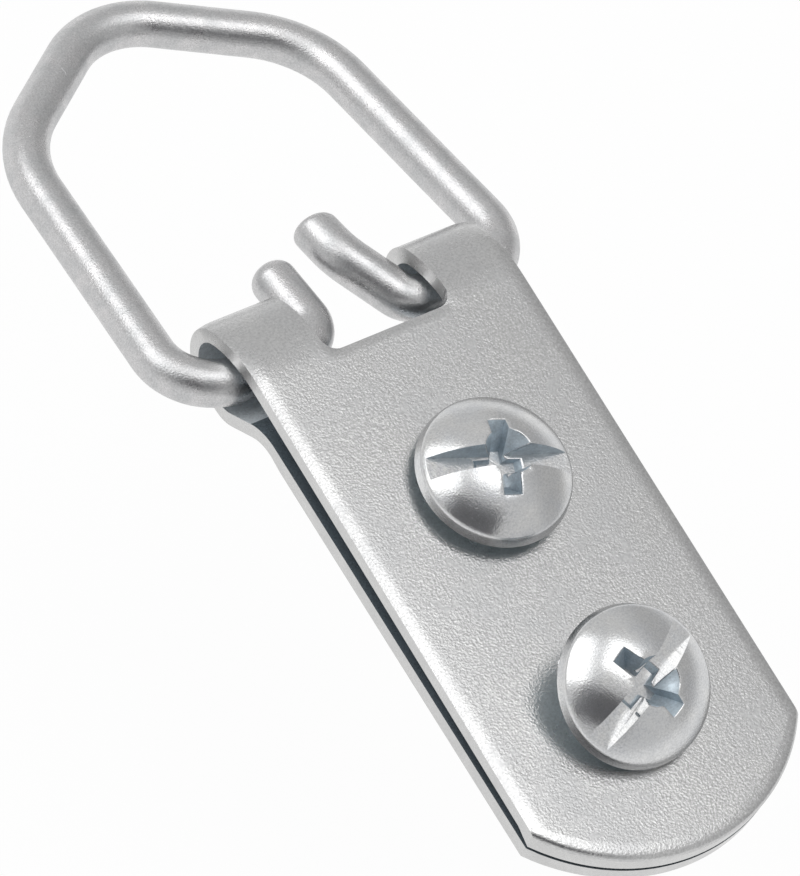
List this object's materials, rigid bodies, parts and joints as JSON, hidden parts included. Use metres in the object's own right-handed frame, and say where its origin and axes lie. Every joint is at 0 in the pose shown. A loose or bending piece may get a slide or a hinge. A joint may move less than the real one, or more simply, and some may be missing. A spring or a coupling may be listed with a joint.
{
  "type": "d-ring picture hanger",
  "caption": "Folded sheet-metal strap with a swinging wire ring and pan-head screws, for hanging a picture frame on a hook or wire.",
  "frame": {"origin": "on the back leaf's outer face, midway between the screw holes", "axes": "+X across the strap, +Y from its rounded end to the ring, +Z out of its front, from the frame to the screw heads"},
  "size_m": [0.0224, 0.054, 0.0158],
  "materials": {
    "strap_zinc": "satin zinc plate on sheet steel",
    "ring_zinc": "bright zinc plate on drawn wire",
    "screw_zinc": "bright zinc plate on a headed and rolled screw"
  },
  "bodies": {
    "strap": {"hanger_strap": "strap_zinc"},
    "ring": {"d_ring": "ring_zinc"},
    "upper_screw": {"upper_screw": "screw_zinc"},
    "lower_screw": {"lower_screw": "screw_zinc"}
  },
  "joints": [
    {"name": "ring_hinge", "type": "hinge", "parent": "strap", "child": "ring", "pos_m": [0, 0.01659, 0.00016], "axis": [1, 0, 0], "range_deg": [-88, 98]},
    {"name": "upper_screw_turn", "type": "hinge", "parent": "strap", "child": "upper_screw", "pos_m": [0, 0.00576, 0.00327], "axis": [0, -0.0262, 0.9997], "continuous": true},
    {"name": "lower_screw_turn", "type": "hinge", "parent": "strap", "child": "lower_screw", "pos_m": [-0.00014, -0.00676, 0.00374], "axis": [-0.049, -0.3502, 0.9354], "continuous": true}
  ]
}
